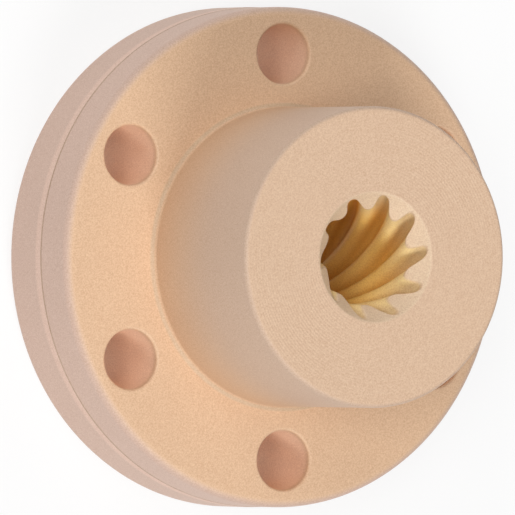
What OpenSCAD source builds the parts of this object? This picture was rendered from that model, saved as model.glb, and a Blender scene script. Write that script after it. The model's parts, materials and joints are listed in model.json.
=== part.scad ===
// Flanged lead screw nut, moulded in one piece, with a ten-start high-helix thread.
// The back face of the flange lies on Z = 0, centred on the origin, and the hub points to +Z.

/* [Flange] */
// Outside diameter of the flange
flange_d = 42; // [41:0.5:60]
// Thickness of the flange
flange_t = 10; // [8:0.5:16]
// Rounding of the rim's front edge
rim_front_r = 0.75; // [0.2:0.05:1.15]
// Rounding of the rim's back edge
rim_back_r = 1.1; // [0.2:0.05:1.15]

/* [Parting line] */
// Height of the parting line round the rim, above the back face
parting_z = 5.75; // [3.5:0.25:6.5]
// How far the front half of the rim lies inside the back half
parting_step = 0.05; // [0:0.01:0.15]
// Depth of the fine line that the two halves of the mould leave
parting_line_depth = 0.08; // [0.02:0.01:0.2]
// Width of that line
parting_line_w = 0.16; // [0.08:0.02:0.4]
// Height of the eased band on the back half, next to the line
parting_band_h = 0.8; // [0.2:0.1:1.2]

/* [Hub] */
// Outside diameter of the hub
hub_d = 25; // [22:0.5:27]
// How far the hub stands out of the flange
hub_h = 15; // [8:0.5:40]
// Rounding of the hub's nose edge
hub_edge_r = 0.4; // [0.1:0.05:1]
// Hollow rounding where the hub meets the flange
hub_root_r = 0.5; // [0.1:0.05:0.8]

/* [Screw holes] */
// Number of screw holes through the flange
hole_count = 6; // [3:1:8]
// Diameter of each screw hole
hole_d = 5; // [3:0.1:5.4]
// Diameter of the circle that the holes lie on
hole_circle_d = 34; // [32.5:0.5:34.5]
// Angle of the first hole from +X
hole_first_angle = 30; // [0:5:60]
// Rounding of the holes' edges
hole_edge_r = 0.25; // [0.1:0.05:0.4]

/* [Thread] */
// Number of thread starts
thread_starts = 10; // [6:1:12]
// Distance along the screw for one whole turn of the right-hand thread
thread_lead = 50; // [30:1:120]
// Diameter across the tips of the ridges
thread_crest_d = 7.9; // [7.4:0.1:8.6]
// Diameter across the bottoms of the grooves
thread_root_d = 10.4; // [10:0.1:10.7]
// Rounding of the ridges' tips
thread_crest_r = 0.75; // [0.3:0.05:0.75]
// Rounding of the grooves' bottoms
thread_root_r = 0.6; // [0.3:0.05:0.6]
// Angle of the first ridge at the back face, from +X
thread_start_angle = 27; // [0:1:36]

/* [Thread mouths] */
// Diameter of the countersink at each end of the thread
mouth_d = 10.8; // [10.6:0.1:14]
// Slope of the countersink's wall from the nut's axis
mouth_slope = 45; // [35:1:60]
// Rounding of the countersink's outer edge
mouth_edge_r = 0.3; // [0.05:0.05:0.4]

/* [Hidden] */

$fn = 180;
over = 0.5;         // how far a cutting tool runs past the face that it cuts
edge_land = 0.1;    // least width of the flat that stays between two roundings
edge_steps = 5;     // flat steps in each small rounding of an edge
crest_steps = 6;    // flat steps round each ridge's tip
root_steps = 6;     // flat steps round each groove's bottom
slice_turn = 6;     // turn of the thread from one slice to the next, in degrees

nut_h = flange_t + hub_h;
rim_r = flange_d / 2;
rim_front_radius = rim_r - parting_step;
hub_r = hub_d / 2;
hole_r = hole_d / 2;
hole_circle_r = hole_circle_d / 2;
mouth_r = mouth_d / 2;
crest_radius = thread_crest_d / 2;
root_radius = thread_root_d / 2;

// The flange's roundings stop short of the rounded edges of the holes.
hole_reach = hole_r + hole_edge_r + edge_land;
rim_front_round = min(rim_front_r, rim_front_radius - hole_circle_r - hole_reach);
rim_back_round = min(rim_back_r, rim_r - hole_circle_r - hole_reach);
hub_root_round = min(hub_root_r, hole_circle_r - hole_reach - hub_r);

// The thread's roundings keep their sizes while both fit into half a pitch.
turn_per_mm = 360 / thread_lead;
pitch_angle = 360 / thread_starts;
rounding_room = 0.95 * (crest_radius + root_radius) * sin(pitch_angle / 4);
rounding_share = min(1, rounding_room / (thread_crest_r + thread_root_r));
crest_r = thread_crest_r * rounding_share;
root_r = thread_root_r * rounding_share;

// Centres of the two roundings, half a pitch apart, and the lean of the flank that touches both.
crest_centre = crest_radius + crest_r;
root_centre = root_radius - root_r;
flank_run = root_centre * sin(pitch_angle / 2);
flank_rise = root_centre * cos(pitch_angle / 2) - crest_centre;
crest_sweep = atan2(flank_rise, flank_run) + asin((crest_r + root_r) / norm([flank_run, flank_rise]));
root_sweep = crest_sweep + pitch_angle / 2;

// Points along an arc, from one angle to the other.
function arc(x, y, r, from, to, steps) =
    [for (i = [0:steps]) let (a = from + (to - from) * i / steps) [x + r * cos(a), y + r * sin(a)]];

function turned(points, angle) =
    [for (p = points) [p[0] * cos(angle) - p[1] * sin(angle), p[0] * sin(angle) + p[1] * cos(angle)]];

// The rim at the parting line: an eased band, then the fine line, then the smaller front half.
function parting_section() = [
    [rim_r, parting_z - parting_line_w / 2 - parting_band_h],
    [rim_r - parting_step / 2, parting_z - parting_line_w / 2],
    [rim_front_radius - parting_line_depth, parting_z],
    [rim_front_radius, parting_z + parting_line_w / 2]
];

// Half section of the nut before its holes: X is the radius and Y is the height.
function body_section() = concat(
    [[0, 0]],
    arc(rim_r - rim_back_round, rim_back_round, rim_back_round, -90, 0, edge_steps),
    parting_section(),
    arc(rim_front_radius - rim_front_round, flange_t - rim_front_round, rim_front_round, 0, 90, edge_steps),
    arc(hub_r + hub_root_round, flange_t + hub_root_round, hub_root_round, 270, 180, edge_steps),
    arc(hub_r - hub_edge_r, nut_h - hub_edge_r, hub_edge_r, 0, 90, edge_steps),
    [[0, nut_h]]
);

// Half section of one screw hole, which is rounded at both faces of the flange.
function hole_section() =
    let (wide_r = hole_r + hole_edge_r)
    concat(
        [[0, -over], [wide_r, -over]],
        arc(wide_r, hole_edge_r, hole_edge_r, 270, 180, edge_steps),
        arc(wide_r, flange_t - hole_edge_r, hole_edge_r, 180, 90, edge_steps),
        [[wide_r, flange_t + over], [0, flange_t + over]]
    );

// Half section of the countersink at the nose: a cone whose outer edge is rounded.
function mouth_section() =
    let (
        edge_x = mouth_r + mouth_edge_r * tan((90 - mouth_slope) / 2),
        cone_x = edge_x - mouth_edge_r * cos(mouth_slope),
        cone_z = nut_h - mouth_edge_r * (1 - sin(mouth_slope)),
        tip_x = crest_radius / 2,
        tip_z = cone_z - (cone_x - tip_x) / tan(mouth_slope)
    )
    concat(
        [[0, tip_z], [tip_x, tip_z]],
        arc(edge_x, nut_h - mouth_edge_r, mouth_edge_r, 180 - mouth_slope, 90, edge_steps),
        [[edge_x, nut_h + over], [0, nut_h + over]]
    );

// Outline of the threaded hole round one ridge and the groove after it.
function ridge_and_groove() = concat(
    arc(crest_centre, 0, crest_r, 180 + crest_sweep, 180 - crest_sweep, crest_steps),
    turned(arc(root_centre, 0, root_r, -root_sweep, root_sweep, root_steps), pitch_angle / 2)
);

module screw_holes() {
    for (i = [0:hole_count - 1])
        rotate(hole_first_angle + i * 360 / hole_count)
            translate([hole_circle_r, 0, 0])
                rotate_extrude()
                    polygon(hole_section());
}

// The threaded hole as a solid: its outline turns as it rises, and it runs past both ends.
module threaded_hole() {
    hole_h = nut_h + 2 * over;
    translate([0, 0, -over])
        rotate(thread_start_angle - over * turn_per_mm)
            linear_extrude(
                height = hole_h,
                twist = -hole_h * turn_per_mm,
                slices = ceil(hole_h * turn_per_mm / slice_turn),
                segments = 1
            )
                polygon([for (i = [0:thread_starts - 1]) each turned(ridge_and_groove(), i * pitch_angle)]);
}

module mouth() {
    rotate_extrude()
        polygon(mouth_section());
}

module nut() {
    color([0.89, 0.75, 0.61])
        difference() {
            rotate_extrude()
                polygon(body_section());
            screw_holes();
            threaded_hole();
            mouth();
            translate([0, 0, nut_h])
                mirror([0, 0, 1])
                    mouth();
        }
}

nut();
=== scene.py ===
# A moulded lead screw nut, standing on its flange, in soft studio light.
import json
from math import asin, atan2, cos, hypot, pi, radians, sin, tan

import bmesh
import bpy
from mathutils import Matrix, Vector


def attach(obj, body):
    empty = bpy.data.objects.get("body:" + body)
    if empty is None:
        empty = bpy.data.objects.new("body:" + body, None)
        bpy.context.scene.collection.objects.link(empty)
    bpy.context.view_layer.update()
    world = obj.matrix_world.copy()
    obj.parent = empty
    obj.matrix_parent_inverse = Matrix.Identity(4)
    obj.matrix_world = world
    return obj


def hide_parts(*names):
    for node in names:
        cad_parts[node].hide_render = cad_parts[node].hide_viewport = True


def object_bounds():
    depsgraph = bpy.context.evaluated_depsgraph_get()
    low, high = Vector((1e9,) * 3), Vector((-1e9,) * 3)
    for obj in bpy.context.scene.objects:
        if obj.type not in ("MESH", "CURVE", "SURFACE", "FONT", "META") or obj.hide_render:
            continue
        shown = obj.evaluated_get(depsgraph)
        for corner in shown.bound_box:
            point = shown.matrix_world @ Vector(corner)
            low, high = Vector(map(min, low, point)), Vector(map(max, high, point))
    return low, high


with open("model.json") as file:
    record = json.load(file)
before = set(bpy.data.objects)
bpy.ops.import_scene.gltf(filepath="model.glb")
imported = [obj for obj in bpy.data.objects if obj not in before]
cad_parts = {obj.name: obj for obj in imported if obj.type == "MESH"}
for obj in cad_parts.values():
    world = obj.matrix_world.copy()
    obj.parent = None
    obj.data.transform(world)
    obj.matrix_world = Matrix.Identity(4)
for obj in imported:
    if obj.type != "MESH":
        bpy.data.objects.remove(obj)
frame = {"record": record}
cadLow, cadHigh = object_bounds()
print("frame loaded")

mm = 0.001
mounts = {mount["name"]: mount for mount in frame["record"]["mounts"]}
nutTop = cadHigh.z / mm
rimRadius = cadHigh.x / mm
flangeTop = mounts["flange_face"]["pos_m"][2] / mm
hubRadius = mounts["hub"]["dims"]["r_mm"]
holeRadius = mounts["screw_holes"]["dims"]["hole_r_mm"]
holeCircleRadius = mounts["screw_holes"]["dims"]["pcd_mm"] / 2
holeCount = mounts["screw_holes"]["dims"]["count"]

# The nut: every length is in millimetres, every angle in degrees.
nut = {
    "rimFrontRound": 0.75,
    "rimBackRound": 1.1,
    "hubEdgeRound": 0.4,
    "hubRootRound": 0.5,
    "partingHeight": 5.75,
    "partingStep": 0.05,
    "partingLineDepth": 0.08,
    "partingLineWidth": 0.16,
    "partingBand": 0.8,
    "holeEdgeRound": 0.25,
    "firstHole": 30,
    "starts": 10,
    "lead": 50,
    "crestRadius": 3.95,
    "rootRadius": 5.2,
    "crestRound": 0.75,
    "rootRound": 0.6,
    "firstRidge": 27,
    "mouthRadius": 5.4,
    "mouthSlope": 45,
    "mouthEdgeRound": 0.3,
    "ridgeEndRound": 0.08,
    "ridgeEndSteps": 4,
    "landRows": 6,          # rows of faces across the countersink, between the ridges' ends and its edge
    "flatMargin": 0.05,     # ring of flat faces kept beside each rounding, so that its shading ends there
    "turnSteps": 256,
    "holeSteps": 72,
    "roundSteps": 8,
    "outlineSteps": 9,      # steps round each ridge's tip and each groove's bottom
    "flankSteps": 4,
    "threadRows": 72,
}


def arc(x, z, radius, start, end, steps):
    turns = [radians(start + (end - start) * i / steps) for i in range(steps + 1)]
    return [(x + radius * cos(a), z + radius * sin(a)) for a in turns]


def spinProfile(bm, profile, centre, steps):
    # profile holds (radius, height) pairs
    verts = [bm.verts.new((centre[0] + r, centre[1], z)) for r, z in profile]
    edges = [bm.edges.new(pair) for pair in zip(verts, verts[1:])]
    bmesh.ops.spin(bm, geom=verts + edges, cent=(centre[0], centre[1], 0), axis=(0, 0, 1),
                   angle=2 * pi, steps=steps, use_merge=True)


def rimProfile():
    back, front = nut["rimBackRound"], nut["rimFrontRound"]
    parting, step = nut["partingHeight"], nut["partingStep"]
    halfLine = nut["partingLineWidth"] / 2
    margin = nut["flatMargin"]
    frontRadius = rimRadius - step
    return (
        [(rimRadius - back - margin, 0)]
        + arc(rimRadius - back, back, back, -90, 0, nut["roundSteps"])
        + [
            (rimRadius, back + margin),
            (rimRadius, parting - halfLine - nut["partingBand"]),
            (rimRadius - step / 2, parting - halfLine - margin),
            (rimRadius - step / 2, parting - halfLine),
            (frontRadius - nut["partingLineDepth"], parting),
            (frontRadius, parting + halfLine),
            (frontRadius, parting + halfLine + margin),
            (frontRadius, flangeTop - front - margin),
        ]
        + arc(frontRadius - front, flangeTop - front, front, 0, 90, nut["roundSteps"])
        + [(frontRadius - front - margin, flangeTop)]
    )


def hubProfile():
    root, edge, margin = nut["hubRootRound"], nut["hubEdgeRound"], nut["flatMargin"]
    return (
        [(hubRadius + root + margin, flangeTop)]
        + arc(hubRadius + root, flangeTop + root, root, 270, 180, nut["roundSteps"])
        + [(hubRadius, flangeTop + root + margin), (hubRadius, nutTop - edge - margin)]
        + arc(hubRadius - edge, nutTop - edge, edge, 0, 90, nut["roundSteps"])
        + [(hubRadius - edge - margin, nutTop)]
    )


def holeProfile():
    edge, margin = nut["holeEdgeRound"], nut["flatMargin"]
    wide = holeRadius + edge
    return (
        [(wide + margin, 0)]
        + arc(wide, edge, edge, 270, 180, nut["roundSteps"])
        + [(holeRadius, edge + margin), (holeRadius, flangeTop - edge - margin)]
        + arc(wide, flangeTop - edge, edge, 180, 90, nut["roundSteps"])
        + [(wide + margin, flangeTop)]
    )


def ridgeAndGroove():
    # one ridge and the groove after it: points, each with its direction into the hole, and the next start
    crestRound, rootRound = nut["crestRound"], nut["rootRound"]
    crestCentre = nut["crestRadius"] + crestRound
    rootCentre = nut["rootRadius"] - rootRound
    pitch = 2 * pi / nut["starts"]
    flankRun = rootCentre * sin(pitch / 2)
    flankRise = rootCentre * cos(pitch / 2) - crestCentre
    crestSweep = atan2(flankRise, flankRun) + asin((crestRound + rootRound) / hypot(flankRun, flankRise))
    rootSweep = crestSweep + pitch / 2
    points = []
    for i in range(nut["outlineSteps"] + 1):
        a = pi + crestSweep - 2 * crestSweep * i / nut["outlineSteps"]
        away = Vector((cos(a), sin(a)))
        points.append((Vector((crestCentre, 0)) + crestRound * away, away))
    groove = Matrix.Rotation(pitch / 2, 2)
    for i in range(nut["outlineSteps"] + 1):
        a = -rootSweep + 2 * rootSweep * i / nut["outlineSteps"]
        away = Vector((cos(a), sin(a)))
        points.append((groove @ (Vector((rootCentre, 0)) + rootRound * away), groove @ -away))
    nextStart = Matrix.Rotation(pitch, 2) @ points[0][0]
    return points, nextStart


def threadOutline():
    # every start's points, with the flanks cut into short steps
    points, nextStart = ridgeAndGroove()
    half = nut["outlineSteps"]
    flanks = {half: points[half + 1][0], 2 * half + 1: nextStart}
    pitchPoints = []
    for i, (point, away) in enumerate(points):
        pitchPoints.append((point, away))
        if i in flanks:
            for k in range(1, nut["flankSteps"]):
                pitchPoints.append((point.lerp(flanks[i], k / nut["flankSteps"]), away))
    outline = []
    for start in range(nut["starts"]):
        turn = Matrix.Rotation(2 * pi * start / nut["starts"], 2)
        outline += [(turn @ point, turn @ away) for point, away in pitchPoints]
    return outline


def helixAngle(height):
    return radians(nut["firstRidge"]) + 2 * pi * height / nut["lead"]


def onHelix(point, height):
    flat = Matrix.Rotation(helixAngle(height), 2) @ point
    return Vector((flat.x, flat.y, height))


def mouthRows(outline, fromFace):
    # rows from a flat face down the countersink and round the ridges' ends, as far as the thread's wall;
    # each point keeps its own place in the turning outline, so no two columns cross
    slope = radians(nut["mouthSlope"])
    edge = nut["mouthEdgeRound"]
    soft = nut["ridgeEndRound"]
    edgeRadius = nut["mouthRadius"] + edge * tan((pi / 2 - slope) / 2)

    def coneDepth(radius):
        return (nut["mouthRadius"] - radius) / tan(slope)

    lips = [point - soft * away for point, away in outline]
    rounds = [(edgeRadius + nut["flatMargin"], 0)] + [
        (x, -z) for x, z in arc(edgeRadius, -edge, edge, 90, 180 - nut["mouthSlope"], nut["roundSteps"])
    ]
    rows = []
    for radius, depth in rounds:
        rows.append([onHelix(lip.normalized() * radius, fromFace(depth)) for lip in lips])
    landRadius = rounds[-1][0]
    for k in range(1, nut["landRows"] + 1):
        row = []
        for lip in lips:
            radius = landRadius + (lip.length - landRadius) * k / nut["landRows"]
            row.append(onHelix(lip.normalized() * radius, fromFace(coneDepth(radius))))
        rows.append(row)
    ends = [onHelix(point, fromFace(coneDepth(point.length))) for point, away in outline]
    walls = [onHelix(point, fromFace(coneDepth(point.length) + soft)) for point, away in outline]
    for k in range(1, nut["ridgeEndSteps"]):
        share = k / nut["ridgeEndSteps"]
        rows.append([lip.lerp(end, share).lerp(end.lerp(wall, share), share)
                     for lip, end, wall in zip(row, ends, walls)])
    rows.append(walls)
    return rows


def threadRows(outline):
    front = mouthRows(outline, lambda depth: nutTop - depth)
    back = mouthRows(outline, lambda depth: depth)
    wall = []
    for k in range(1, nut["threadRows"]):
        share = k / nut["threadRows"]
        wall.append([onHelix(point, low.z + (high.z - low.z) * share)
                     for (point, away), low, high in zip(outline, back[-1], front[-1])])
    return back + wall + front[::-1]


def pullRing(bm, ring, row):
    edges = [bm.edges.get(pair) for pair in zip(ring, ring[1:] + ring[:1])]
    pulled = bmesh.ops.extrude_edge_only(bm, edges=edges)["geom"]
    fresh = {item for item in pulled if isinstance(item, bmesh.types.BMVert)}
    newRing = []
    for vert, place in zip(ring, row):
        above = next(edge.other_vert(vert) for edge in vert.link_edges if edge.other_vert(vert) in fresh)
        above.co = place
        newRing.append(above)
    return newRing


def makeThread(bm):
    rows = threadRows(threadOutline())
    ring = [bm.verts.new(place) for place in rows[0]]
    for pair in zip(ring, ring[1:] + ring[:1]):
        bm.edges.new(pair)
    for row in rows[1:]:
        ring = pullRing(bm, ring, row)


def fillFlat(bm, height):
    # closes the flat face at this height, round whatever opens through it
    hair = 1e-4
    border = [edge for edge in bm.edges
              if edge.is_boundary and all(abs(vert.co.z - height) < hair for vert in edge.verts)]
    bmesh.ops.triangle_fill(bm, use_beauty=True, use_dissolve=False, edges=border, normal=(0, 0, 1))


def makeNut():
    bm = bmesh.new()
    spinProfile(bm, rimProfile(), (0, 0), nut["turnSteps"])
    spinProfile(bm, hubProfile(), (0, 0), nut["turnSteps"])
    for i in range(holeCount):
        angle = radians(nut["firstHole"] + 360 * i / holeCount)
        centre = (holeCircleRadius * cos(angle), holeCircleRadius * sin(angle))
        spinProfile(bm, holeProfile(), centre, nut["holeSteps"])
    makeThread(bm)
    for height in (0, flangeTop, nutTop):
        fillFlat(bm, height)
    bmesh.ops.recalc_face_normals(bm, faces=bm.faces)
    for face in bm.faces:
        face.smooth = True
    bmesh.ops.scale(bm, vec=(mm, mm, mm), verts=bm.verts)
    openEdges = sum(not edge.is_manifold for edge in bm.edges)
    mesh = bpy.data.meshes.new("mouldedNut")
    bm.to_mesh(mesh)
    bm.free()
    piece = bpy.data.objects.new("mouldedNut", mesh)
    bpy.context.scene.collection.objects.link(piece)
    print("nut made:", len(mesh.polygons), "faces,", openEdges, "open edges")
    return piece


# The polymer: colours are linear, and lengths are in millimetres unless they say metres. Each pair of
# lengths says where a colour starts to come in and where it is fully there.
polymer = {
    "noseColour": (0.73, 0.505, 0.345, 1),
    "flangeColour": (0.765, 0.512, 0.328, 1),
    "noseFace": (-0.05, -0.01),                 # height above the nose
    # the rim's side: painted shade, darker and greyer than the faces
    "rimColour": (0.61, 0.425, 0.337, 1),
    "bandColour": (0.7, 0.485, 0.385, 1),       # painted highlight beside the parting line, on its back side
    "bandStart": (-1.1, -0.6),                  # height above the parting line
    "bandEnd": (-0.05, -0.15),
    "lineColour": (0.5, 0.34, 0.24, 1),         # painted shade in the parting line
    "lineEdge": (0.1, 0.04),                    # height from the line's middle
    "rootColour": (0.63, 0.44, 0.285, 1),       # painted shade in the hollow rounding at the hub's root, which dims its highlight
    "rootEdge": (0.5, 0.3),                     # distance from the hub's wall
    "rootRise": (0.3, 0.1),                     # height from the flange's face
    # the hub's wall: painted shade on its side, warmer with painted bounce light at the root and greyer
    # towards the nose
    "hubRootColour": (0.65, 0.43, 0.275, 1),
    "hubNoseColour": (0.575, 0.405, 0.295, 1),
    "hubRise": (0, 10),                         # height above the flange's face
    # painted light inside the screw holes: their walls lighter than the body
    "holeColour": (0.9, 0.62, 0.445, 1),
    "holeDepth": (0.1, 1),                      # depth below the flange's faces
    "landColour": (0.77, 0.57, 0.39, 1),        # on the countersinks
    "landEdge": (0.12, -0.05),                  # distance outside the countersink's edge
    "mouthFade": 0.4,                           # how far the countersink's colour fades into the thread
    # the thread's colours are painted light: amber bounce light on the ridges, painted shade in the
    # grooves
    "ridgeColour": (0.97, 0.75, 0.37, 1),
    "grooveColour": (0.75, 0.55, 0.3, 1),
    "ridgeToGroove": (4.1, 4.95),               # distance from the nut's axis
    # painted shade: browner deeper in the thread
    "deepRidgeColour": (0.97, 0.66, 0.2, 1),
    "deepGrooveColour": (0.8, 0.45, 0.1, 1),
    "threadDepth": (1.5, 7),                    # depth below the nut's faces
    "softEdge": 0.1,                            # widths at the other regions' edges
    "fineEdge": 0.05,
    "roughness": 0.55,
    "grainSize": 0.12,
    "grainDetail": 1,
    "grainContrast": (0.42, 0.62, 0.76),        # for red, green and blue
    "grainDepthMetres": 8e-6,
    "patchSize": 4,
    "patchDetail": 2,
    "patchContrast": 0.03,
    "turningPitch": 0.25,                       # fine rings that a lathe left on the nose
    "turningDepthMetres": 6e-6,
}


def addNode(tree, kind, inputs, **settings):
    node = tree.nodes.new(kind)
    for name, value in settings.items():
        setattr(node, name, value)
    for key, value in inputs.items():
        if isinstance(value, bpy.types.NodeSocket):
            tree.links.new(value, node.inputs[key])
        else:
            node.inputs[key].default_value = value
    return node


def calc(tree, operation, *values):
    return addNode(tree, "ShaderNodeMath", dict(enumerate(values)), operation=operation).outputs["Value"]


def rise(tree, value, start, end):
    # 0 on the start's side, 1 on the end's side, smooth between them
    inputs = {"Value": value, "From Min": start, "From Max": end}
    return addNode(tree, "ShaderNodeMapRange", inputs, interpolation_type="SMOOTHSTEP").outputs["Result"]


def blend(tree, share, first, second):
    mix = addNode(tree, "ShaderNodeMix", {"Factor": share}, data_type="RGBA")
    for name, value in (("A", first), ("B", second)):
        socket = next(item for item in mix.inputs if item.name == name and item.type == "RGBA")
        if isinstance(value, bpy.types.NodeSocket):
            tree.links.new(value, socket)
        else:
            socket.default_value = value
    return next(item for item in mix.outputs if item.type == "RGBA")


def times(tree, first, second):
    return calc(tree, "MULTIPLY", first, second)


def span(tree, x, y):
    # distance of a point from the origin
    return calc(tree, "SQRT", calc(tree, "ADD", calc(tree, "POWER", x, 2), calc(tree, "POWER", y, 2)))


def scaled(tree, vector, factor):
    inputs = {0: vector, "Scale": factor}
    return addNode(tree, "ShaderNodeVectorMath", inputs, operation="SCALE").outputs["Vector"]


def noise(tree, place, size, detail):
    inputs = {"Vector": place, "Scale": 1 / size, "Detail": detail}
    return addNode(tree, "ShaderNodeTexNoise", inputs).outputs["Fac"]


def holeWalls(tree, x, y, z):
    # 1 inside the screw holes, where their painted light goes: the turn from the nearest hole, then the
    # distance from its axis
    step = 2 * pi / holeCount
    turn = calc(tree, "SUBTRACT", calc(tree, "ARCTAN2", y, x), radians(nut["firstHole"]))
    turn = calc(tree, "WRAP", turn, step / 2, -step / 2)
    radius = span(tree, x, y)
    along = calc(tree, "SUBTRACT", times(tree, radius, calc(tree, "COSINE", turn)), holeCircleRadius)
    across = times(tree, radius, calc(tree, "SINE", turn))
    isHole = rise(tree, span(tree, along, across), holeRadius + nut["holeEdgeRound"], holeRadius)
    fromFace = calc(tree, "MINIMUM", z, calc(tree, "SUBTRACT", flangeTop, z))
    return times(tree, isHole, rise(tree, fromFace, *polymer["holeDepth"]))


def rimColour(tree, z):
    # the rim's painted shade, darker and greyer than the faces, then the painted highlight band behind the
    # parting line, then the line's painted shade
    fromLine = calc(tree, "SUBTRACT", z, nut["partingHeight"])
    bandStart = rise(tree, fromLine, *polymer["bandStart"])
    onHighlightBand = times(tree, bandStart, rise(tree, fromLine, *polymer["bandEnd"]))
    onLineShade = rise(tree, calc(tree, "ABSOLUTE", fromLine), *polymer["lineEdge"])
    colour = blend(tree, onHighlightBand, polymer["rimColour"], polymer["bandColour"])
    return blend(tree, onLineShade, colour, polymer["lineColour"])


def threadPaintedLight(tree, radius, fromMouth):
    # painted light in the thread: amber bounce light on the ridges, painted shade in the grooves, both
    # with browner painted shade deeper in
    isDeep = rise(tree, fromMouth, *polymer["threadDepth"])
    ridge = blend(tree, isDeep, polymer["ridgeColour"], polymer["deepRidgeColour"])
    groove = blend(tree, isDeep, polymer["grooveColour"], polymer["deepGrooveColour"])
    return blend(tree, rise(tree, radius, *polymer["ridgeToGroove"]), ridge, groove)


def regionColour(tree, x, y, z):
    # the flange's and nose's colour, with each other region's colour laid over it in turn; most of these
    # hold painted light or shade
    radius = span(tree, x, y)
    mouth, edge = nut["mouthRadius"], nut["hubEdgeRound"]
    soft, fine = polymer["softEdge"], polymer["fineEdge"]
    fromMouth = calc(tree, "MINIMUM", z, calc(tree, "SUBTRACT", nutTop, z))
    fromHub = calc(tree, "SUBTRACT", radius, hubRadius)
    aboveFlange = calc(tree, "SUBTRACT", z, flangeTop)

    onRim = rise(tree, radius, rimRadius - nut["rimFrontRound"], rimRadius - soft)
    nearFlange = rise(tree, calc(tree, "ABSOLUTE", aboveFlange), *polymer["rootRise"])
    onRootShade = times(tree, rise(tree, fromHub, *polymer["rootEdge"]), nearFlange)
    atWall = rise(tree, fromHub, -edge, -fine)
    onHub = times(tree, atWall, rise(tree, aboveFlange, soft, nut["hubRootRound"]))
    onLand = rise(tree, calc(tree, "SUBTRACT", radius, mouth), *polymer["landEdge"])
    belowLand = rise(tree, calc(tree, "ADD", fromMouth, radius), mouth, mouth + polymer["mouthFade"])
    inThread = times(tree, belowLand, rise(tree, radius, mouth, nut["rootRadius"] + fine))

    colour = blend(tree, rise(tree, z, flangeTop, nutTop), polymer["flangeColour"], polymer["noseColour"])
    hubShadeAndBounce = blend(tree, rise(tree, aboveFlange, *polymer["hubRise"]),
                      polymer["hubRootColour"], polymer["hubNoseColour"])
    for share, region in (
        (onRim, rimColour(tree, z)),
        (onRootShade, polymer["rootColour"]),
        (onHub, hubShadeAndBounce),
        (holeWalls(tree, x, y, z), polymer["holeColour"]),
        (onLand, polymer["landColour"]),
        (inThread, threadPaintedLight(tree, radius, fromMouth)),
    ):
        colour = blend(tree, share, colour, region)
    return colour


def turnedRings(tree, x, y, z):
    # height of the fine rings on the nose, in metres
    radius = span(tree, x, y)
    edge = hubRadius - nut["hubEdgeRound"]
    onFace = rise(tree, calc(tree, "SUBTRACT", z, nutTop), *polymer["noseFace"])
    onNose = times(tree, onFace, rise(tree, radius, edge, edge - polymer["softEdge"]))
    wave = calc(tree, "SINE", times(tree, radius, 2 * pi / polymer["turningPitch"]))
    return times(tree, wave, times(tree, onNose, polymer["turningDepthMetres"] / 2))


def makePolymer():
    material = bpy.data.materials.new("beigePolymer")
    material.use_nodes = True
    tree = material.node_tree
    shader = tree.nodes["Principled BSDF"]
    shader.inputs["Roughness"].default_value = polymer["roughness"]

    metres = tree.nodes.new("ShaderNodeTexCoord").outputs["Object"]
    place = scaled(tree, metres, 1 / mm)
    axes = addNode(tree, "ShaderNodeSeparateXYZ", {"Vector": place}).outputs
    x, y, z = axes["X"], axes["Y"], axes["Z"]

    patches = noise(tree, place, polymer["patchSize"], polymer["patchDetail"])
    patches = times(tree, patches, polymer["patchContrast"])
    mottle = calc(tree, "ADD", 1 - polymer["patchContrast"] / 2, patches)
    colour = scaled(tree, regionColour(tree, x, y, z), mottle)
    grain = noise(tree, place, polymer["grainSize"], polymer["grainDetail"])
    shades = []
    for side in (-1, 1):
        tint = [1 + side * contrast / 2 for contrast in polymer["grainContrast"]]
        shade = addNode(tree, "ShaderNodeVectorMath", {0: colour, 1: tint}, operation="MULTIPLY")
        shades.append(shade.outputs["Vector"])
    tree.links.new(blend(tree, grain, *shades), shader.inputs["Base Color"])

    height = calc(tree, "ADD", turnedRings(tree, x, y, z), times(tree, grain, polymer["grainDepthMetres"]))
    bump = addNode(tree, "ShaderNodeBump", {"Height": height, "Distance": 1, "Strength": 1})
    tree.links.new(bump.outputs["Normal"], shader.inputs["Normal"])
    print("polymer made")
    return material


# The camera, 30 degrees to the left of the nut's axis: lengths are in metres, but its lens and sensor are
# in millimetres.
camera = {
    "turn": 30.412,         # degrees between the nut's axis and the view
    "distance": 1.2428,
    "aimRight": -0.00346,   # from the nut's middle
    "aimUp": -0.000035,
    "nearest": 0.01,
    "farthest": 10,
    "lens": 1039.76,
    "sensorWidth": 36,
}


def makeCamera():
    turn = radians(camera["turn"])
    right = Vector((cos(turn), 0, sin(turn)))
    up = Vector((0, 1, 0))
    back = Vector((-sin(turn), 0, cos(turn)))
    data = bpy.data.cameras.new("camera")
    data.sensor_width = camera["sensorWidth"]
    data.lens = camera["lens"]
    data.clip_start = camera["nearest"]
    data.clip_end = camera["farthest"]
    piece = bpy.data.objects.new("camera", data)
    centre = Vector((0, 0, nutTop / 2 * mm))
    place = centre + right * camera["aimRight"] + up * camera["aimUp"] + back * camera["distance"]
    piece.matrix_world = Matrix.Translation(place) @ Matrix((right, up, back)).transposed().to_4x4()
    bpy.context.scene.collection.objects.link(piece)
    bpy.context.scene.camera = piece


# The studio, in metres: soft square lamps, each seen from the nut at an angle from its axis and round it.
studio = {
    "lampDistance": 3,
    "lampWidth": 1.25,
    "lamps": {
        "keyFromBelow": {"fromAxis": 45, "around": 265, "level": 0.515},
        "fillFromLeft": {"fromAxis": 36, "around": 180, "level": 0.36},
        "fillUpperLeft": {"fromAxis": 52, "around": 135, "level": 0.17},
        "fillFromAbove": {"fromAxis": 74, "around": 80, "level": 0.135},
    },
    "worldLevel": 0.19,
    "floorHalfWidth": 6,
    "floorColour": (0.95, 0.95, 0.95, 1),
    "floorRoughness": 0.9,
    "floorGlow": 0.8,       # share of the floor's look that is plain white, whatever falls on it
    "floorLight": 0.4,      # the same share in the light that the floor gives to the nut
}


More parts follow.
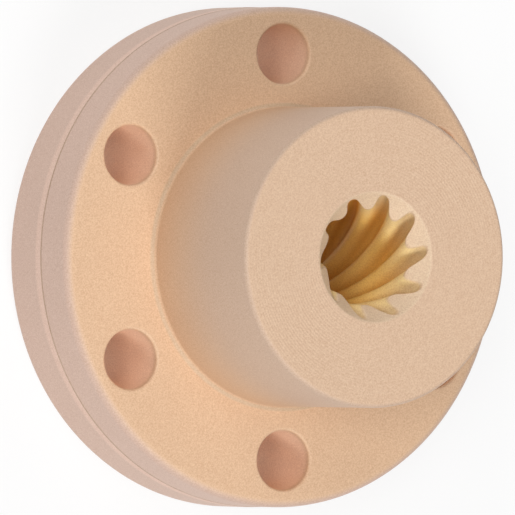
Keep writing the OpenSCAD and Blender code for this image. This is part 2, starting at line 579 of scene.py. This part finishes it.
def makeLamps():
    distance = studio["lampDistance"]
    for name, lamp in studio["lamps"].items():
        slant, around = radians(lamp["fromAxis"]), radians(lamp["around"])
        toLamp = Vector((sin(slant) * cos(around), sin(slant) * sin(around), cos(slant)))
        data = bpy.data.lights.new(name, "AREA")
        data.size = studio["lampWidth"]
        data.energy = lamp["level"] * (pi * distance) ** 2      # a white face turned to it shows the level
        piece = bpy.data.objects.new(name, data)
        facing = toLamp.to_track_quat("Z", "Y").to_matrix().to_4x4()
        piece.matrix_world = Matrix.Translation(toLamp * distance) @ facing
        piece.visible_camera = False
        bpy.context.scene.collection.objects.link(piece)
    print("lamps made")


def seenDirectly(tree, share):
    # the share where the camera, a gloss or a glass looks at it, and nothing for all other rays
    rays = tree.nodes.new("ShaderNodeLightPath").outputs
    seen = calc(tree, "MAXIMUM", rays["Is Camera Ray"], rays["Is Glossy Ray"])
    return times(tree, calc(tree, "MAXIMUM", seen, rays["Is Transmission Ray"]), share)


def makeFloor():
    bm = bmesh.new()
    bmesh.ops.create_grid(bm, x_segments=1, y_segments=1, size=studio["floorHalfWidth"])
    mesh = bpy.data.meshes.new("floor")
    bm.to_mesh(mesh)
    bm.free()
    floor = bpy.data.objects.new("floor", mesh)
    bpy.context.scene.collection.objects.link(floor)
    material = bpy.data.materials.new("paleFloor")
    material.use_nodes = True
    tree = material.node_tree
    shader = tree.nodes["Principled BSDF"]
    shader.inputs["Base Color"].default_value = studio["floorColour"]
    shader.inputs["Roughness"].default_value = studio["floorRoughness"]
    white = addNode(tree, "ShaderNodeEmission", {}).outputs["Emission"]
    glow = calc(tree, "MAXIMUM", seenDirectly(tree, studio["floorGlow"]), studio["floorLight"])
    mix = addNode(tree, "ShaderNodeMixShader", {0: glow, 1: shader.outputs["BSDF"], 2: white})
    tree.links.new(mix.outputs["Shader"], tree.nodes["Material Output"].inputs["Surface"])
    floor.data.materials.append(material)
    print("floor made")


def makeWorld():
    world = bpy.data.worlds.new("studio")
    bpy.context.scene.world = world
    world.use_nodes = True
    tree = world.node_tree
    light = tree.nodes["Background"]
    light.inputs["Color"].default_value = (1, 1, 1, 1)
    light.inputs["Strength"].default_value = studio["worldLevel"]
    white = addNode(tree, "ShaderNodeBackground", {"Color": (1, 1, 1, 1)}).outputs["Background"]
    seen = seenDirectly(tree, 1)
    mix = addNode(tree, "ShaderNodeMixShader", {0: seen, 1: light.outputs["Background"], 2: white})
    tree.links.new(mix.outputs["Shader"], tree.nodes["World Output"].inputs["Surface"])
    print("world made")


makeCamera()
makeFloor()
makeWorld()
makeLamps()
nutPiece = makeNut()
nutPiece.data.materials.append(makePolymer())
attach(nutPiece, "root")
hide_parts("nut")

bpy.context.scene.view_settings.view_transform = "Standard"
